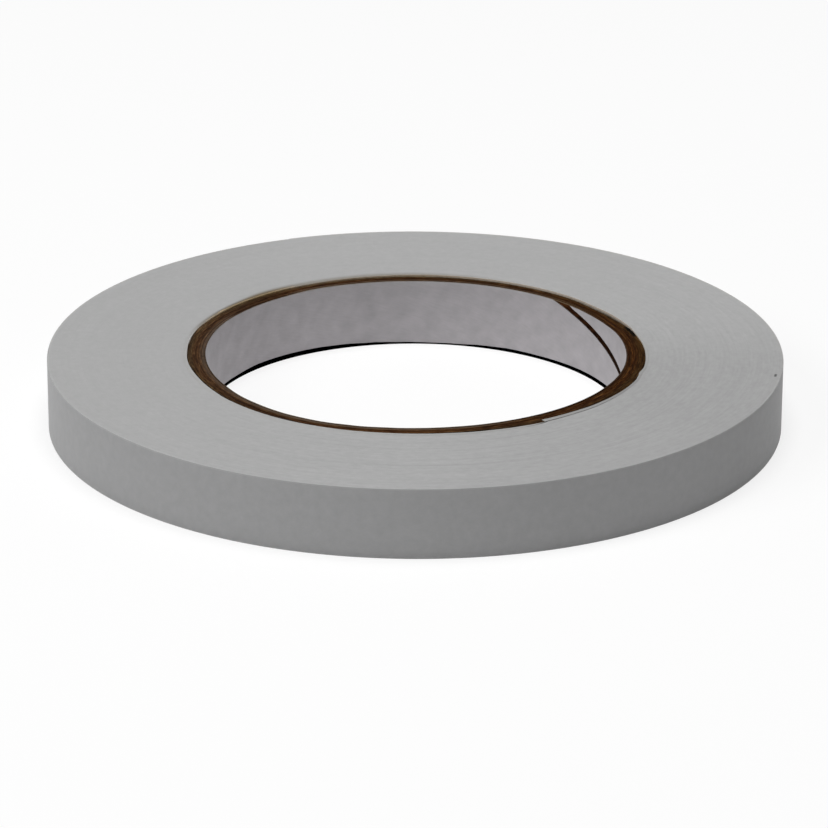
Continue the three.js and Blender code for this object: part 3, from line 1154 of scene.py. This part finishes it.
# %% Build the pack
RELIEF = 0.014 * MM
RELIEF_SIZE = 0.9 * MM
BROAD_RELIEF = 0.03 * MM
BROAD_SIZE = 6 * MM
FACE_SETBACK = 0.012 * MM


def face_relief(radius, point):
    """The height of the roll's face at a radius: fine groups of turns over broad ones."""
    around = Vector((point.x, point.y, 0)).normalized()
    fine = noise.noise(Vector((radius / RELIEF_SIZE, around.x * 1.2, around.y * 1.2)))
    broad = noise.noise(Vector((radius / BROAD_SIZE, around.x * 0.8 + 9, around.y * 0.8)))
    return RELIEF * fine + BROAD_RELIEF * (broad - 0.5)


def paint_pack(face):
    outside = radius_of(face.calc_center_median()) > PACK_RADIUS - 0.02 * MM
    return int(outside and abs(face.normal.z) < 0.5)


def build_pack():
    bm = cross_section(FIRST_TURNS_RADIUS, PACK_RADIUS, 0.03 * MM, 72, LAST_TURN)
    last = spin_round(bm, math.tau, 300, False)
    ends = [face for face in bm.faces if len(face.verts) > 4]
    bmesh.ops.delete(bm, geom=ends, context="FACES_ONLY")
    for vertex in bm.verts:
        turned = 1.0 if vertex in last else angle_from(LAST_TURN, vertex.co) / math.tau
        radius = radius_of(vertex.co)
        share = (radius - FIRST_TURNS_RADIUS) / (PACK_RADIUS - FIRST_TURNS_RADIUS)
        moved = sunk(LAST_TURN + turned * math.tau, PACK_SINK) * max(0.0, 1 - share * 8)
        climb = TAPE_THICKNESS * turned if share > 0.995 else 0.0
        set_radius(vertex, radius + moved + climb)
        lower = face_relief(radius, vertex.co) - FACE_SETBACK
        vertex.co.z += -lower if vertex.co.z < TAPE_WIDTH / 2 else lower
    bmesh.ops.remove_doubles(bm, verts=bm.verts, dist=2e-6 * MM)
    fill_holes(bm)
    materials = [TAPE_EDGES, TAPE_FACE]
    finish_piece("wound_tape", bm, materials, "roll", "tape_pack", paint_pack)


build_pack()

# %% [markdown]
# ## Last turn and free end
# The last turn is the strip itself: a thin section spun for most of a turn while its radius
# climbs. The free end is the same strip carried on for 18 mm, from the peel line to the tip.

# %% Build the strip
def climb_at(angle):
    return TAPE_THICKNESS * (angle - LAST_TURN) / math.tau


def build_strip_bmesh(start, end, steps):
    bm = cross_section(PACK_RADIUS, PACK_RADIUS + TAPE_THICKNESS, 0.045 * MM, 0, start)
    upright = [e for e in bm.edges if abs(e.verts[0].co.z - e.verts[1].co.z) > TAPE_WIDTH / 2]
    bmesh.ops.subdivide_edges(bm, edges=upright, cuts=7)
    spin_round(bm, end - start, steps, False)
    for vertex in bm.verts:
        angle = start + angle_from(start, vertex.co)
        set_radius(vertex, radius_of(vertex.co) + climb_at(angle))
    return bm


def paint_strip(face):
    if outward_at(face) < -0.7:
        return 2
    return 1 if abs(face.normal.z) > 0.7 else 0


STRIP_FINISHES = [TAPE_FACE, TAPE_EDGES, ADHESIVE]
finish_piece(
    "last_turn", build_strip_bmesh(LAST_TURN, PEEL, 400), STRIP_FINISHES, "roll",
    "outer_turn", paint_strip,
)
free_end = finish_piece(
    "free_end", build_strip_bmesh(PEEL, TIP, 72), STRIP_FINISHES, None,
    "tape_end", paint_strip,
)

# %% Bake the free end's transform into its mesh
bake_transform(free_end)

# %% [markdown]
# ## Table and light
# The roll lies on a white table. The camera sees it lighter than the roll does: part of it glows
# for camera rays only, so the background is white and the shadow stays soft. Under the roll the
# table is painted black: a painted shadow, because no light gets there. The light is plain: a weak
# white sky, a big soft lamp above, and another at the front left.

# %% Table
def seen_directly(tree):
    """1 for rays from the camera, and for what mirrors and glass would show of it."""
    path = node(tree, "LightPath").outputs
    seen = calc(tree, "MAXIMUM", path["Is Camera Ray"], path["Is Glossy Ray"])
    return calc(tree, "MAXIMUM", seen, path["Is Transmission Ray"])


GLOW_SHARE = 0.75
TABLE_BOUNCE = 0.91
TABLE_SIZE = 3
WHITE = (1, 1, 1, 1)


def make_table_white():
    """White, and painted black under the roll as a painted shadow. Part of it glows where it is
    seen directly.
    """
    made, tree, shader = new_material("white_table")
    seen = seen_directly(tree)
    radius = use_group(tree, ROLL_COORDINATES)["Radius"]
    # painted shadow: the table is black between the bore and the roll's rim
    inside = calc(tree, "LESS_THAN", radius, BORE_RADIUS / MM - 0.05)
    outside = calc(tree, "GREATER_THAN", radius, ROLL_RADIUS / MM - 0.3)
    open_table = calc(tree, "ADD", inside, outside)
    tone = product(tree, smooth(tree, seen, 0.0, 1.0, TABLE_BOUNCE, 1.0), open_table)
    grey = node(tree, "CombineColor", {0: tone, 1: tone, 2: tone}).outputs[0]
    finish(tree, shader, grey, 1.0, 0.0)
    glow = node(tree, "Emission", {"Color": WHITE, "Strength": 1.0})
    share = product(tree, seen, open_table, GLOW_SHARE)
    both = node(tree, "MixShader", {0: share, 1: shader.outputs[0], 2: glow.outputs[0]})
    fill(tree, tree.nodes["Material Output"], {"Surface": both.outputs[0]})
    return made


def build_table():
    bm = bmesh.new()
    bmesh.ops.create_grid(bm, x_segments=4, y_segments=4, size=TABLE_SIZE)
    bmesh.ops.translate(bm, verts=bm.verts, vec=(0, 0, -0.02 * MM))
    table = add_object("table", bm, [make_table_white()])


build_table()

# %% Light
SKY_LEVEL = 0.04
LAMP_DISTANCE = 1.5
LAMP_SIZE = 0.9

world = bpy.data.worlds.new("sky")
world.use_nodes = True
scene.world = world
sky = world.node_tree
seen_white = smooth(sky, seen_directly(sky), 0.0, 1.0, SKY_LEVEL, 1.0)
fill(sky, sky.nodes["Background"], {"Color": WHITE, "Strength": seen_white})


def make_lamp(name, level, place):
    """A soft round lamp on this side, which lights a white card to this level."""
    lamp_data = bpy.data.lights.new(name, "AREA")
    lamp_data.shape = "DISK"
    lamp_data.size = LAMP_SIZE
    lamp_data.energy = level * math.pi * math.pi * LAMP_DISTANCE ** 2
    lamp = bpy.data.objects.new(name, lamp_data)
    direction = Vector(place).normalized()
    lamp.location = direction * LAMP_DISTANCE
    lamp.rotation_euler = direction.to_track_quat("Z", "Y").to_euler()
    scene.collection.objects.link(lamp)
    return lamp


lamps = [
    make_lamp("lamp_above", 0.75, (0, 0, 1)),
    make_lamp("lamp_front_left", 0.33, (-0.84, -0.48, 0.8)),
]
scene.view_settings.view_transform = "Standard"
print("lamps in W:", [round(lamp.data.energy, 2) for lamp in lamps])
